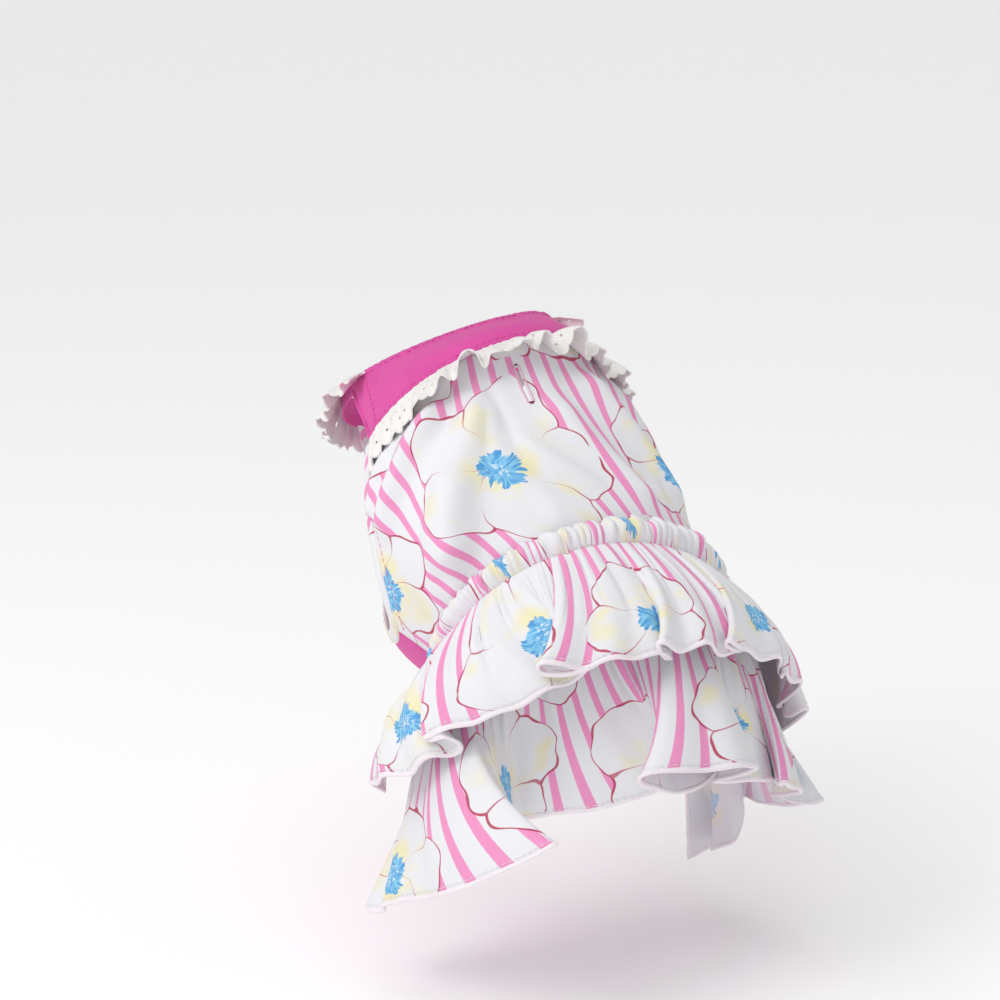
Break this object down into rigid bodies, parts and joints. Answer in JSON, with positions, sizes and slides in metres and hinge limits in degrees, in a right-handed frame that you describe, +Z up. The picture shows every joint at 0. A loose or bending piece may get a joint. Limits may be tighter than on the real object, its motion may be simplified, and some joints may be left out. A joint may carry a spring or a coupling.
{
  "type": "dog dress",
  "caption": "Small dog's dress with a plain yoke, eyelet lace, open neck and armholes, and a gathered two-tier skirt, shaped as worn.",
  "frame": {"origin": "in the middle of the hollow of the bodice, where the wearer's chest is, just behind the front legs", "axes": "+Y forward to the head, +X to the wearer's right, +Z up, with the body sitting as in the picture so that the back leans up to the neck"},
  "size_m": [0.1751, 0.2255, 0.2236],
  "materials": {
    "printed_cotton": "matt plain-weave cotton, white with pink stripes and large white flowers",
    "plain_cotton": "matt plain-weave cotton, bright pink",
    "eyelet_lace": "matt white cotton lace with small round eyelets"
  },
  "bodies": {
    "root": {"yoke": "plain_cotton", "back_lace": "eyelet_lace", "front_lace": "eyelet_lace", "back_panel": "printed_cotton", "belly_panel": "plain_cotton", "waist_ruffle": "printed_cotton", "upper_tier": "printed_cotton", "lower_tier": "printed_cotton"}
  },
  "joints": []
}
